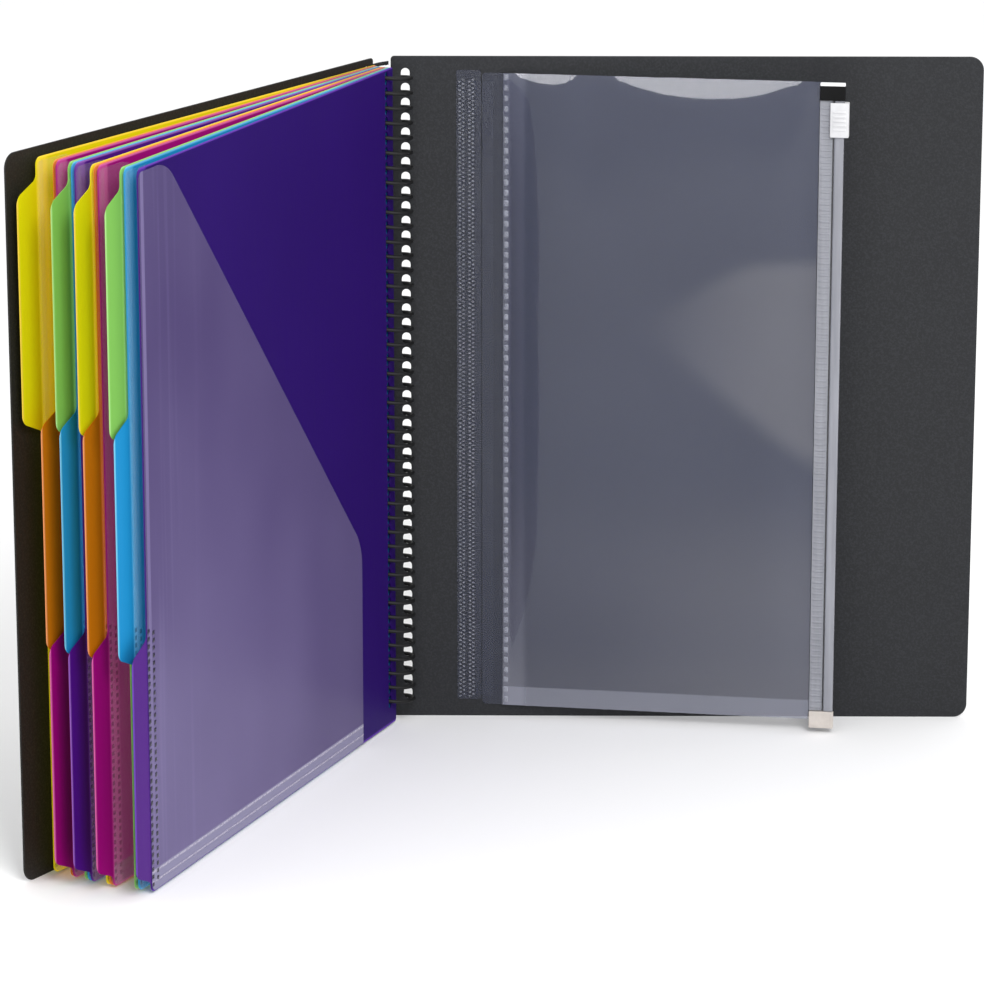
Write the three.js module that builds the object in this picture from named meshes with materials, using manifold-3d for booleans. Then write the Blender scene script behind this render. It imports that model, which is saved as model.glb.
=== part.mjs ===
// A coil-bound project organizer that stands open on the lower edges of its covers.
// Sizes are in millimetres. While the pieces are made, the coil's axis is the Z axis, the back
// cover reaches along +X, and a sheet opens by turning from +X towards -Y.
import * as THREE from 'three';
import Module from 'manifold-3d';
import { mergeVertices } from 'three/addons/utils/BufferGeometryUtils.js';

// Covers
const coverHeight = 298;
const coverWidth = 254.1;
const coverThickness = 0.9;
const coverCorner = 6;
const spineCorner = 1.5;
const coverOpening = 122;

// Dividers, counted from the front cover, and the angle that each one lies behind the last
const dividerLift = 1;
const dividerHead = 3;
const dividerHeight = coverHeight - dividerLift - dividerHead;
const dividerWidth = 240.3;
const dividerThickness = 0.3;
const dividerCorner = 3;
const stackPitch = 0.8;
const firstGap = 0.6;
const fanGaps = [0.8, 1.9, 0.2, 1.2, 0.2, 0.2, 1.5, 0.2, 0.2, 2.1, 0.2, 1.1];

// Index tabs, three places along the edge
const tabPlaces = 3;
const tabReach = 12.5;
const tabShoulder = 5.5;
const tabCorner = 3;
const tabFoot = 10;
const tabHead = 14;
const tabLength = (dividerHeight - tabFoot - tabHead) / tabPlaces;

// Slash pockets, one on the rear face of each divider
const pocketFilm = 0.15;
const pocketRoom = 0.12;
const pocketHem = 1.5;
const pocketEdge = 0.4;
const pocketInset = 35;
const pocketMouthWidth = 24;
const pocketMouthHeight = 90;
const pocketCorner = 8;
const pocketWeldHeight = 5.5;
const pocketWeldWidth = 2;
const weldClearance = 0.04;

// Binding coil and the row of holes that it runs through
const holeFoot = 9.25;
const holePitch = 6.5;
const holeWidth = 4.4;
const holeWeb = 0.2;
const coverMargin = 4.6;
const dividerMargin = 6;
const coverHoleReach = 6.6;
const wireDiameter = 1.8;
const wireClearance = 0.2;
const wireSag = 0.8;
const sheetTurn = 190;
const turnSteps = 8;
const wireSides = 5;
const coverHoleSides = 8;
const slotSides = 4;
const crimpLength = 4.5;

// Zip pouch: a welded strip on the back cover, then a flap of two films that stands a little open
const pouchStack = 3.4;
const pouchOpening = 8;
const pouchFoot = 6;
const pouchHead = 7;
const pouchHeight = coverHeight - pouchFoot - pouchHead;
const pouchWidth = 146;
const pouchFilm = 0.2;
const pouchCrown = 7;
const crownFlatness = 4;
const crownColumns = 8;
const crownRows = 10;
const pouchSeam = 12.4;
const pouchWeldHeight = 9;
const pouchWeldWidth = 3;
const stripInset = 27;
const stripWidth = 10.6;
const stripFoot = 8;
const stripHead = 6;
const stripHeight = coverHeight - stripFoot - stripHead;
const stripThickness = 0.4;
const layGap = 0.05;
const hingeGap = 0.3;

// Zip: two interlocking tracks, a stop at each end and a slider
const trackWidth = 10.4;
const trackBase = 0.6;
const trackBead = 1.3;
const beadWidth = 4.2;
const beadGroove = 0.6;
const tongueWidth = 1;
const tongueHeight = 0.4;
const tongueClearance = 0.15;
const stopLength = 7.5;
const stopHeight = 2.5;
const stopOverhang = 3.5;
const stopGap = 0.3;
const sliderLength = 15;
const sliderWidth = 8;
const sliderWall = 1;
const sliderCheek = 1.9;
const sliderClearance = 0.15;
const sliderDrop = 0.6;

// Steps along a rounded corner, points per step of the wire, and how near two points count as one
const cornerSteps = 3;
const gapSamples = 4;
const mergeReach = 1e-4;

// Finishes: colour, roughness and, for a clear piece, opacity
const dividerColours = [0xc8be0f, 0xc8741a, 0x9c0078, 0x76b858, 0x2f93c6, 0x480c80];
const lastColour = 0x3a1f86;
const dividerRoughness = 0.45;
const finishes = {
  backCover: plastic(0x3a3a3e, 0.6),
  frontCover: plastic(0x23211e, 0.6),
  coil: plastic(0x121214, 0.35),
  pocket: plastic(0xd8d4e4, 0.3, 0.4),
  weldStrip: plastic(0xc9ccd4, 0.25, 0.4),
  backFilm: plastic(0xc9ccd4, 0.2, 0.3),
  frontFilm: plastic(0xd6d9e2, 0.15, 0.3),
  rearTrack: plastic(0xb9bcc2, 0.3, 0.7),
  frontTrack: plastic(0xc4c8d0, 0.3, 0.7),
  topStop: plastic(0x17171a, 0.2),
  footStop: plastic(0xe6e2d4, 0.4),
  slider: plastic(0xf2f2f0, 0.35),
};

const radians = THREE.MathUtils.degToRad;
const wasm = await Module();
wasm.setup();

// The stack sets how far the covers lie from the coil's axis, and with it the coil's size
const dividerCount = fanGaps.length;
const coverOffset = (pouchStack + dividerCount * stackPitch + coverThickness) / 2;
const slotHeight = wireDiameter + holePitch * sheetTurn / 360 + 2 * wireClearance;

// The wire is made of straight steps. It crosses the back cover in the middle of one, where it lies
// nearest to the axis, and starts and ends in the middle of another, behind the spine.
const turnStep = 2 * Math.PI / turnSteps;
const chordRadius = Math.hypot(coverOffset, coverHoleReach);
const cornerRadius = chordRadius / Math.cos(turnStep / 2);
const coilRadius = (chordRadius + cornerRadius) / 2;
const coverSlant = Math.asin(coverOffset / chordRadius);

// The row has as many holes as the covers and the dividers have height for
const holeCount = Math.min(
  holesUpTo(coverHeight, -coverOffset),
  holesUpTo(dividerLift + dividerHeight, dividerOffset(1)),
);

function plastic(color, roughness, opacity = 1) {
  const transparent = opacity < 1;
  return new THREE.MeshStandardMaterial({ color, roughness, metalness: 0, opacity, transparent });
}

// A closed outline through corners [x, y, radius], each rounded by its radius
function outline(corners) {
  const shape = new THREE.Shape();
  corners.forEach(([x, y, radius], index) => {
    const corner = new THREE.Vector2(x, y);
    const before = corners[(index + corners.length - 1) % corners.length];
    const after = corners[(index + 1) % corners.length];
    const start = new THREE.Vector2(before[0], before[1]).sub(corner).setLength(radius).add(corner);
    const end = new THREE.Vector2(after[0], after[1]).sub(corner).setLength(radius).add(corner);
    if (index === 0) shape.moveTo(start.x, start.y);
    else shape.lineTo(start.x, start.y);
    if (radius > 0) shape.quadraticCurveTo(x, y, end.x, end.y);
  });
  shape.closePath();
  return shape;
}

function polygonHole(x, y, width, height, sides) {
  const turn = Math.PI / sides;
  const points = [];
  for (let side = 0; side < sides; side += 1) {
    const angle = turn * (2 * side + 1);
    const reach = 1 / Math.cos(turn);
    points.push(new THREE.Vector2(
      x + width / 2 * reach * Math.cos(angle),
      y + height / 2 * reach * Math.sin(angle),
    ));
  }
  return new THREE.Path(points.reverse());
}

// A flat sheet whose outline is drawn in X and Z, from its front face to its rear face along Y
function sheet(shape, front, rear) {
  const geometry = new THREE.ExtrudeGeometry(shape, {
    depth: rear - front,
    bevelEnabled: false,
    curveSegments: cornerSteps,
  });
  geometry.rotateX(Math.PI / 2);
  geometry.translate(0, rear, 0);
  return geometry;
}

// A bar with its section drawn in X and Y, from one height to another
function bar(section, foot, top) {
  const shape = new THREE.Shape(section.map(([x, y]) => new THREE.Vector2(x, y)));
  const geometry = new THREE.ExtrudeGeometry(shape, { depth: top - foot, bevelEnabled: false });
  geometry.translate(0, 0, foot);
  return geometry;
}

function toSolid(geometry) {
  const plain = geometry.clone();
  plain.deleteAttribute('normal');
  plain.deleteAttribute('uv');
  const merged = mergeVertices(plain, mergeReach);
  const vertProperties = new Float32Array(merged.attributes.position.array);
  const triVerts = new Uint32Array(merged.index.array);
  return new wasm.Manifold(new wasm.Mesh({ numProp: 3, vertProperties, triVerts }));
}

function joined(first, second) {
  const mesh = toSolid(first).add(toSolid(second)).getMesh();
  const geometry = new THREE.BufferGeometry();
  geometry.setAttribute('position', new THREE.BufferAttribute(new Float32Array(mesh.vertProperties), 3));
  geometry.setIndex(new THREE.BufferAttribute(new Uint32Array(mesh.triVerts), 1));
  geometry.computeVertexNormals();
  return geometry;
}

function piece(name, geometry, material) {
  const mesh = new THREE.Mesh(geometry, material);
  mesh.name = name;
  return mesh;
}

// The wire crosses a sheet that lies off the axis at a slant, seen as an angle about the axis
function slant(offset) {
  return Math.asin(offset / coilRadius);
}

function holeReach(offset) {
  return Math.sqrt(coilRadius ** 2 - offset ** 2);
}

// Width that a slot needs so that the stepped wire clears it at every angle of the sheet
function slotWidth(offset, thickness) {
  const angle = Math.abs(slant(offset));
  const inward = holeReach(offset) - Math.sqrt(chordRadius ** 2 - offset ** 2);
  const outward = Math.sqrt(cornerRadius ** 2 - offset ** 2) - holeReach(offset);
  const wire = wireDiameter / 2 / Math.cos(angle) + thickness / 2 * Math.tan(angle);
  return Math.max(holeWidth, 2 * (wire + Math.max(inward, outward) + wireClearance));
}

// Share of a turn that the coil climbs from its hole in the back cover to the middle of a sheet's slot
function slotShare(offset) {
  return (radians(sheetTurn / 2) - slant(offset) + coverSlant) / (2 * Math.PI);
}

function holesUpTo(top, offset) {
  const reach = top - holeWeb - slotHeight / 2 - holeFoot;
  return Math.floor(reach / holePitch - slotShare(offset)) + 1;
}

function punchSlots(shape, offset, thickness) {
  const width = slotWidth(offset, thickness);
  for (let slot = 0; slot < holeCount; slot += 1) {
    const height = holeFoot + holePitch * (slot + slotShare(offset));
    shape.holes.push(polygonHole(holeReach(offset), height, width, slotHeight, slotSides));
  }
}

const coverSpine = coverHoleReach - coverMargin;

function coverOutline() {
  return outline([
    [coverSpine, 0, spineCorner],
    [coverSpine + coverWidth, 0, coverCorner],
    [coverSpine + coverWidth, coverHeight, coverCorner],
    [coverSpine, coverHeight, spineCorner],
  ]);
}

// The coil hangs low in the back cover's holes
function backCover() {
  const shape = coverOutline();
  for (let hole = 0; hole < holeCount; hole += 1) {
    const height = holeFoot + wireSag + holePitch * hole;
    shape.holes.push(polygonHole(coverHoleReach, height, holeWidth, holeWidth, coverHoleSides));
  }
  const front = coverOffset - coverThickness / 2;
  return piece('back_cover', sheet(shape, front, front + coverThickness), finishes.backCover);
}

function frontCover() {
  const shape = coverOutline();
  punchSlots(shape, -coverOffset, coverThickness);
  const front = -coverOffset - coverThickness / 2;
  return piece('front_cover', sheet(shape, front, front + coverThickness), finishes.frontCover);
}

// A divider and its pocket, with the tab at one of three places down the free edge
function dividerOffset(number) {
  return -coverOffset + coverThickness / 2 + firstGap + stackPitch * (number - 1);
}

function divider(number, colour) {
  const offset = dividerOffset(number);
  const spine = holeReach(offset) - dividerMargin;
  const edge = spine + dividerWidth;
  const place = tabPlaces - 1 - (number - 1) % tabPlaces;
  const tabLow = dividerLift + tabFoot + tabLength * place;
  const tabHigh = tabLow + tabLength;
  const top = dividerLift + dividerHeight;
  const shape = outline([
    [spine, dividerLift, spineCorner],
    [edge, dividerLift, dividerCorner],
    [edge, tabLow - tabShoulder, 0],
    [edge + tabReach, tabLow, tabCorner],
    [edge + tabReach, tabHigh, tabCorner],
    [edge, tabHigh + tabShoulder, 0],
    [edge, top, dividerCorner],
    [spine, top, spineCorner],
  ]);
  punchSlots(shape, offset, dividerThickness);
  const geometry = sheet(shape, offset - dividerThickness / 2, offset + dividerThickness / 2);
  return piece(`divider_${label(number)}`, geometry, plastic(colour, dividerRoughness));
}

function pocket(number) {
  const offset = dividerOffset(number);
  const spine = holeReach(offset) - dividerMargin;
  const edge = spine + dividerWidth - pocketEdge;
  const inner = spine + pocketInset;
  const foot = dividerLift + pocketEdge;
  const top = dividerLift + dividerHeight - pocketHem;
  const face = offset + dividerThickness / 2;
  const film = outline([
    [inner, foot, 0],
    [edge, foot, dividerCorner],
    [edge, top, dividerCorner],
    [edge - pocketMouthWidth, top, pocketCorner],
    [inner, foot + pocketMouthHeight, pocketCorner],
  ]);
  const weld = outline([
    [inner, foot, 0],
    [edge, foot, dividerCorner],
    [edge, top - dividerCorner, 0],
    [edge - pocketWeldWidth, top - dividerCorner, 0],
    [edge - pocketWeldWidth, foot + pocketWeldHeight, 0],
    [inner, foot + pocketWeldHeight, 0],
  ]);
  const under = face + pocketRoom;
  const geometry = joined(
    sheet(film, under, under + pocketFilm),
    sheet(weld, face + weldClearance, under + pocketFilm / 2),
  );
  return piece(`slash_pocket_${label(number)}`, geometry, finishes.pocket);
}

function label(number) {
  return String(number).padStart(2, '0');
}

// The coil is one tube that climbs with the opening angle, its two ends bent in towards the axis
function coilPath() {
  const points = [];
  const place = (radius, step) => {
    const angle = turnStep * (step - 1) - coverSlant;
    const climb = holePitch * (step - 1) / turnSteps;
    points.push(new THREE.Vector3(radius * Math.cos(angle), -radius * Math.sin(angle), holeFoot + climb));
  };
  const stepCount = holeCount * turnSteps;
  place(chordRadius - crimpLength, 0);
  place(chordRadius, 0);
  for (let step = 0; step < stepCount; step += 1) place(cornerRadius, step + 0.5);
  place(chordRadius, stepCount);
  place(chordRadius - crimpLength, stepCount);
  return points;
}

function tube(points, radius, sides) {
  const positions = [];
  const indices = [];
  const last = points.length - 1;
  points.forEach((point, index) => {
    const inbound = point.clone().sub(points[Math.max(index - 1, 0)]).setZ(0).normalize();
    const outbound = points[Math.min(index + 1, last)].clone().sub(point).setZ(0).normalize();
    const along = inbound.add(outbound).normalize();
    const across = new THREE.Vector3(along.y, -along.x, 0);
    for (let side = 0; side < sides; side += 1) {
      const angle = 2 * Math.PI * side / sides;
      const corner = point.clone().addScaledVector(across, radius * Math.cos(angle));
      positions.push(corner.x, corner.y, corner.z + radius * Math.sin(angle));
    }
  });
  for (let ring = 0; ring < last; ring += 1) {
    for (let side = 0; side < sides; side += 1) {
      const next = (side + 1) % sides;
      const low = ring * sides;
      const high = low + sides;
      indices.push(low + side, high + side, high + next, low + side, high + next, low + next);
    }
  }
  for (let side = 1; side < sides - 1; side += 1) {
    const high = last * sides;
    indices.push(0, side, side + 1, high, high + side + 1, high + side);
  }
  const geometry = new THREE.BufferGeometry();
  geometry.setAttribute('position', new THREE.Float32BufferAttribute(positions, 3));
  geometry.setIndex(indices);
  geometry.computeVertexNormals();
  return geometry;
}

// Least gap between one turn of the coil and the next, measured on points along the wire
function leastGap(points) {
  const samples = [];
  for (let index = 0; index < points.length - 1; index += 1) {
    for (let sample = 0; sample < gapSamples; sample += 1) {
      samples.push(points[index].clone().lerp(points[index + 1], sample / gapSamples));
    }
  }
  const turn = gapSamples * turnSteps;
  let least = Infinity;
  for (let first = 0; first < samples.length; first += 1) {
    const reach = Math.min(samples.length, first + 2 * turn);
    for (let second = first + turn / 2; second < reach; second += 1) {
      least = Math.min(least, samples[first].distanceTo(samples[second]));
    }
  }
  return least - wireDiameter;
}

function coil() {
  const points = coilPath();
  console.log(`least gap between the coil's turns: ${leastGap(points).toFixed(2)} mm`);
  return piece('binding_coil', tube(points, wireDiameter / 2, wireSides), finishes.coil);
}

// The pouch's hinge runs up the back cover just beyond the welded strip
const innerFace = coverOffset - coverThickness / 2;
const stripEdge = coverSpine + stripInset + stripWidth;
const hingeX = stripEdge + hingeGap;
const hingeY = innerFace - layGap - stripThickness;

function weldStrip() {
  const left = coverSpine + stripInset;
  const shape = outline([
    [left, stripFoot, 0],
    [stripEdge, stripFoot, 0],
    [stripEdge, stripFoot + stripHeight, 0],
    [left, stripFoot + stripHeight, 0],
  ]);
  const geometry = sheet(shape, hingeY, hingeY + stripThickness);
  return piece('pouch_weld_strip', geometry, finishes.weldStrip);
}

// In the pouch's own group X runs from the hinge to the zip and -Y points away from the cover.
// Levels are heights above the hinge's plane.
const filmTop = hingeGap + pouchFilm;
const trackFoot = filmTop + layGap;
const trackSeat = trackFoot + trackBase;
const beadFoot = trackSeat + layGap;
const beadTop = beadFoot + trackBead;
const zipStart = pouchWidth + stopGap;
const zipEdge = zipStart + trackWidth;
const pouchTop = pouchFoot + pouchHeight;
const footStopLow = pouchFoot - stopOverhang;
const footStopHigh = footStopLow + stopLength;
const topStopHigh = pouchTop - pouchFilm;
const topStopLow = topStopHigh - stopLength;
const trackLow = footStopHigh + stopGap;
const trackHigh = topStopLow - stopGap;

function level([x, height]) {
  return [x, -height];
}

function backFilm() {
  const right = zipEdge - beadWidth - beadGroove;
  const shape = outline([
    [hingeGap, pouchFoot, 0],
    [right, pouchFoot, 0],
    [right, pouchTop, 0],
    [hingeGap, pouchTop, 0],
  ]);
  return piece('pouch_back_film', sheet(shape, -filmTop, -hingeGap), finishes.backFilm);
}

// The front film lies flat along its welds and swells between them
function frontFilm() {
  const spread = (count, start, size) => Array.from({ length: count + 1 }, (_, index) => {
    return start + size * (1 - Math.cos(Math.PI * index / count)) / 2;
  });
  const swell = (share) => 1 - (2 * share - 1) ** crownFlatness;
  const crownStart = pouchSeam;
  const crownWidth = pouchWidth - pouchWeldWidth - crownStart;
  const crownFoot = pouchFoot + pouchWeldHeight;
  const crownHeight = pouchHeight - pouchWeldHeight - pouchWeldWidth;
  const filmStart = pouchSeam - pouchWeldWidth;
  const columns = [filmStart, ...spread(crownColumns, crownStart, crownWidth), pouchWidth];
  const rows = [pouchFoot, ...spread(crownRows, crownFoot, crownHeight), pouchTop];
  const share = (value, start, size) => THREE.MathUtils.clamp((value - start) / size, 0, 1);
  const positions = [];
  const addFace = (lift) => rows.forEach((z) => columns.forEach((x) => {
    const base = THREE.MathUtils.mapLinear(x, filmStart, pouchWidth, filmTop + layGap, beadFoot);
    const across = swell(share(x, crownStart, crownWidth));
    const along = swell(share(z, crownFoot, crownHeight));
    positions.push(x, -(base + pouchCrown * across * along + lift), z);
  }));
  addFace(0);
  addFace(pouchFilm);
  const width = columns.length;
  const faceSize = width * rows.length;
  const indices = [];
  const quad = (a, b, c, d) => indices.push(a, b, c, a, c, d);
  for (let row = 0; row < rows.length - 1; row += 1) {
    for (let column = 0; column < width - 1; column += 1) {
      const corner = row * width + column;
      quad(corner, corner + width, corner + width + 1, corner + 1);
      const outer = corner + faceSize;
      quad(outer, outer + 1, outer + width + 1, outer + width);
    }
  }
  const rim = [];
  for (let column = 0; column < width - 1; column += 1) rim.push(column);
  for (let row = 0; row < rows.length - 1; row += 1) rim.push(row * width + width - 1);
  for (let column = width - 1; column > 0; column -= 1) rim.push((rows.length - 1) * width + column);
  for (let row = rows.length - 1; row > 0; row -= 1) rim.push(row * width);
  rim.forEach((from, index) => {
    const to = rim[(index + 1) % rim.length];
    quad(from, to, to + faceSize, from + faceSize);
  });
  const geometry = new THREE.BufferGeometry();
  geometry.setAttribute('position', new THREE.Float32BufferAttribute(positions, 3));
  geometry.setIndex(indices);
  geometry.computeVertexNormals();
  return piece('pouch_front_film', geometry, finishes.frontFilm);
}

// The rear track carries a tongue that fits the groove under the front track's bead
const tongueMiddle = zipEdge - beadWidth / 2;

function rearTrack() {
  const section = [
    [zipStart, trackFoot],
    [zipEdge, trackFoot],
    [zipEdge, trackSeat],
    [tongueMiddle + tongueWidth / 2, trackSeat],
    [tongueMiddle + tongueWidth / 2, trackSeat + tongueHeight],
    [tongueMiddle - tongueWidth / 2, trackSeat + tongueHeight],
    [tongueMiddle - tongueWidth / 2, trackSeat],
    [zipStart, trackSeat],
  ];
  return piece('zip_track_rear', bar(section.map(level), trackLow, trackHigh), finishes.rearTrack);
}

function frontTrack() {
  const beadStart = zipEdge - beadWidth;
  const grooveHalf = tongueWidth / 2 + tongueClearance;
  const grooveTop = trackSeat + tongueHeight + tongueClearance;
  const web = beadFoot + trackBase / 2;
  const section = [
    [zipStart, beadFoot],
    [tongueMiddle - grooveHalf, beadFoot],
    [tongueMiddle - grooveHalf, grooveTop],
    [tongueMiddle + grooveHalf, grooveTop],
    [tongueMiddle + grooveHalf, beadFoot],
    [zipEdge, beadFoot],
    [zipEdge, beadTop],
    [beadStart, beadTop],
    [beadStart, web],
    [beadStart - beadGroove, web],
    [beadStart - beadGroove, beadFoot + trackBase],
    [zipStart, beadFoot + trackBase],
  ];
  return piece('zip_track_front', bar(section.map(level), trackLow, trackHigh), finishes.frontTrack);
}

function zipStop(name, low, high, material) {
  const section = [
    [zipStart, trackFoot],
    [zipEdge + hingeGap, trackFoot],
    [zipEdge + hingeGap, trackFoot + stopHeight],
    [zipStart, trackFoot + stopHeight],
  ];
  return piece(name, bar(section.map(level), low, high), material);
}

// The slider wraps the tracks' free edge
function slider() {
  const top = beadTop + sliderClearance + sliderWall;
  const low = trackFoot - sliderClearance;
  const right = zipEdge + sliderClearance + sliderCheek;
  const left = right - sliderWidth;
  const lipLeft = zipEdge - beadWidth;
  const section = [
    [lipLeft, low - sliderWall],
    [right, low - sliderWall],
    [right, top],
    [left, top],
    [left, top - sliderWall],
    [right - sliderCheek, top - sliderWall],
    [right - sliderCheek, low],
    [lipLeft, low],
  ];
  const high = trackHigh - sliderDrop;
  return piece('zip_slider', bar(section.map(level), high - sliderLength, high), finishes.slider);
}

function pouch() {
  const group = new THREE.Group();
  group.position.set(hingeX, hingeY, 0);
  group.rotation.z = -radians(pouchOpening);
  group.add(
    backFilm(),
    frontFilm(),
    rearTrack(),
    frontTrack(),
    zipStop('zip_top_stop', topStopLow, topStopHigh, finishes.topStop),
    zipStop('zip_foot_stop', footStopLow, footStopHigh, finishes.footStop),
    slider(),
  );
  return group;
}

// Opened sheets share the coil's axis, so each has a group turned about it
function opened(angle, ...pieces) {
  const group = new THREE.Group();
  group.rotation.z = -radians(angle);
  group.add(...pieces);
  return group;
}

const organizer = new THREE.Group();
organizer.add(backCover(), weldStrip(), coil(), pouch(), opened(coverOpening, frontCover()));
let opening = coverOpening;
fanGaps.forEach((gap, index) => {
  const number = index + 1;
  const colour = number === dividerCount ? lastColour : dividerColours[index % dividerColours.length];
  opening -= gap;
  organizer.add(opened(opening, divider(number, colour), pocket(number)));
});

// The part stands on Z = 0 with the middle of its footprint at the origin
organizer.updateMatrixWorld(true);
const box = new THREE.Box3().setFromObject(organizer, true);
const middle = box.getCenter(new THREE.Vector3());
organizer.position.set(-middle.x, -middle.y, -box.min.z);
const axisPlace = organizer.position.toArray().map((value) => value.toFixed(3));
console.log(`coil axis at ${axisPlace.join(', ')} and radius ${coilRadius.toFixed(3)} mm`);
console.log(`pouch hinge at ${hingeX.toFixed(3)}, ${hingeY.toFixed(3)} from the coil axis`);

export default organizer;
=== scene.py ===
import math

import bmesh
import bpy
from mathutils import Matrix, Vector


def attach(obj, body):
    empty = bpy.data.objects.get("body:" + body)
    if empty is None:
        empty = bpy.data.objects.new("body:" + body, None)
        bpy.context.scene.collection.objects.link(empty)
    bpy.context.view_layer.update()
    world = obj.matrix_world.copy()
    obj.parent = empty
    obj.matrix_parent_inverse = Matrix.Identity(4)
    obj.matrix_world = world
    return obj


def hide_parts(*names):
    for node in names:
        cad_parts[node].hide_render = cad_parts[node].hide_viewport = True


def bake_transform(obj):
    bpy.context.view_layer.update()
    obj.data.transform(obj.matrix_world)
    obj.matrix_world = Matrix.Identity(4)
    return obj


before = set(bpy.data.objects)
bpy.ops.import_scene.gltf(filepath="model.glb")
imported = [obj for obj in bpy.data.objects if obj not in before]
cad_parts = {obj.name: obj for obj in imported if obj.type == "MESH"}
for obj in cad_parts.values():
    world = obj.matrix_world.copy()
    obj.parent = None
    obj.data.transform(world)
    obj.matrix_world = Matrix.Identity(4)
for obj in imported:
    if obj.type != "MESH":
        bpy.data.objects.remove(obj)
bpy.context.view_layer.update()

mm = 0.001
slack = 0.01  # mm, for finding points by their place
closeBy = 0.1  # mm, for finding edges and faces by their place

cameraSpot = {
    "place": (6.09, -1877.23, 648.93),
    "pitch": 15.274,  # degrees below the horizon
    "yaw": -0.538,
    "lens": 171.56,
    "sensor": 36,
}


def setCamera():
    pitch = math.radians(cameraSpot["pitch"])
    yaw = math.radians(cameraSpot["yaw"])
    bpy.ops.object.camera_add(
        location=Vector(cameraSpot["place"]) * mm,
        rotation=(math.pi / 2 - pitch, 0, -yaw),
    )
    camera = bpy.context.object
    camera.data.lens = cameraSpot["lens"]
    camera.data.sensor_width = cameraSpot["sensor"]
    bpy.context.scene.camera = camera
    print("camera set")


setCamera()


class Value:  # a number that changes over a surface, and the sums done with it
    def __init__(self, paint, socket):
        self.paint = paint
        self.socket = socket

    def __add__(self, other):
        return self.paint.maths("ADD", self, other)

    def __radd__(self, other):
        return self.paint.maths("ADD", other, self)

    def __sub__(self, other):
        return self.paint.maths("SUBTRACT", self, other)

    def __rsub__(self, other):
        return self.paint.maths("SUBTRACT", other, self)

    def __mul__(self, other):
        return self.paint.maths("MULTIPLY", self, other)

    def __rmul__(self, other):
        return self.paint.maths("MULTIPLY", other, self)

    def __or__(self, other):  # either of two masks
        return self.paint.maths("MAXIMUM", self, other)


class Paint:
    def __init__(self, name):
        self.material = bpy.data.materials.new(name)
        self.material.use_nodes = True
        self.nodes = self.material.node_tree.nodes
        self.links = self.material.node_tree.links
        self.shader = self.nodes["Principled BSDF"]

    def node(self, kind, settings, inputs, output=0):
        made = self.nodes.new(kind)
        for name, value in settings.items():
            setattr(made, name, value)
        for name, value in inputs.items():
            self.feed(made.inputs[name], value)
        return Value(self, made.outputs[output])

    def feed(self, socket, value):
        if isinstance(value, Value):
            self.links.new(value.socket, socket)
        else:
            socket.default_value = value

    def finish(self, **looks):
        for name, value in looks.items():
            self.feed(self.shader.inputs[name.replace("_", " ")], value)
        return self.material

    def maths(self, operation, first, second):
        return self.node("ShaderNodeMath", {"operation": operation}, {0: first, 1: second})

    def spot(self):
        return self.node("ShaderNodeTexCoord", {}, {}, output=3)

    def flat(self):  # the piece's own flat sizes in mm
        return self.node("ShaderNodeAttribute", {"attribute_name": "flat"}, {}, output=1)

    def part(self, vector, axis):
        return self.node("ShaderNodeSeparateXYZ", {}, {0: vector}, output="XYZ".index(axis))

    def stretch(self, vector, scale):
        return self.node("ShaderNodeMapping", {}, {"Vector": vector, "Scale": scale})

    def noise(self, vector, scale, detail=2.0, roughness=0.5):
        inputs = {"Vector": vector, "Scale": scale, "Detail": detail, "Roughness": roughness}
        return self.node("ShaderNodeTexNoise", {}, inputs)

    def ramp(self, value, start, end):  # 0 before start, 1 after end, soft between
        inputs = {"Value": value, "From Min": start, "From Max": end}
        return self.node("ShaderNodeMapRange", {"interpolation_type": "SMOOTHSTEP"}, inputs)

    def band(self, value, low, high, soft):
        return self.ramp(value, low - soft, low) * self.ramp(value, high + soft, high)

    def mix(self, share, first, second):
        return self.node("ShaderNodeMix", {"data_type": "RGBA"}, {0: share, 6: first, 7: second}, output=2)

    def bump(self, height, strength, depth):
        inputs = {"Strength": strength, "Distance": depth * mm, "Height": height}
        return self.node("ShaderNodeBump", {}, inputs)


def tint(red, green, blue):  # screen colour, 0 to 255, as light
    shares = [value / 255 for value in (red, green, blue)]
    light = [s / 12.92 if s <= 0.04045 else ((s + 0.055) / 1.055) ** 2.4 for s in shares]
    return (*light, 1)


def activate(piece):
    bpy.ops.object.select_all(action="DESELECT")
    piece.select_set(True)
    bpy.context.view_layer.objects.active = piece


def startEdit(piece):
    activate(piece)
    bpy.ops.object.mode_set(mode="EDIT")


def endEdit():
    bpy.ops.object.mode_set(mode="OBJECT")


def pick(piece, kind, test):  # selects by place in mm, and by normal for faces
    bpy.ops.mesh.select_mode(type={"verts": "VERT", "edges": "EDGE", "faces": "FACE"}[kind])
    bpy.ops.mesh.select_all(action="DESELECT")
    mesh = bmesh.from_edit_mesh(piece.data)
    for item in getattr(mesh, kind):
        points = [item.co] if kind == "verts" else [v.co for v in item.verts]
        if test(sum(points, Vector()) / len(points) / mm, item):
            item.select_set(True)
    bmesh.update_edit_mesh(piece.data)


def move(x, y, z):
    bpy.ops.transform.translate(value=(x * mm, y * mm, z * mm))


def extrude(x, y, z):
    bpy.ops.mesh.extrude_region_move(TRANSFORM_OT_translate={"value": (x * mm, y * mm, z * mm)})


def cutAt(place, normal, clearOuter=False):
    bpy.ops.mesh.select_mode(type="FACE")
    bpy.ops.mesh.select_all(action="SELECT")
    bpy.ops.mesh.bisect(plane_co=Vector(place) * mm, plane_no=Vector(normal).normalized(), clear_outer=clearOuter)


def roundCorner(piece, x, z, radius, steps=6):
    pick(piece, "verts", lambda at, item: abs(at.x - x) < slack and abs(at.z - z) < slack)
    bpy.ops.mesh.bevel(offset=radius * mm, offset_type="ABSOLUTE", segments=steps, affect="VERTICES")


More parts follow.
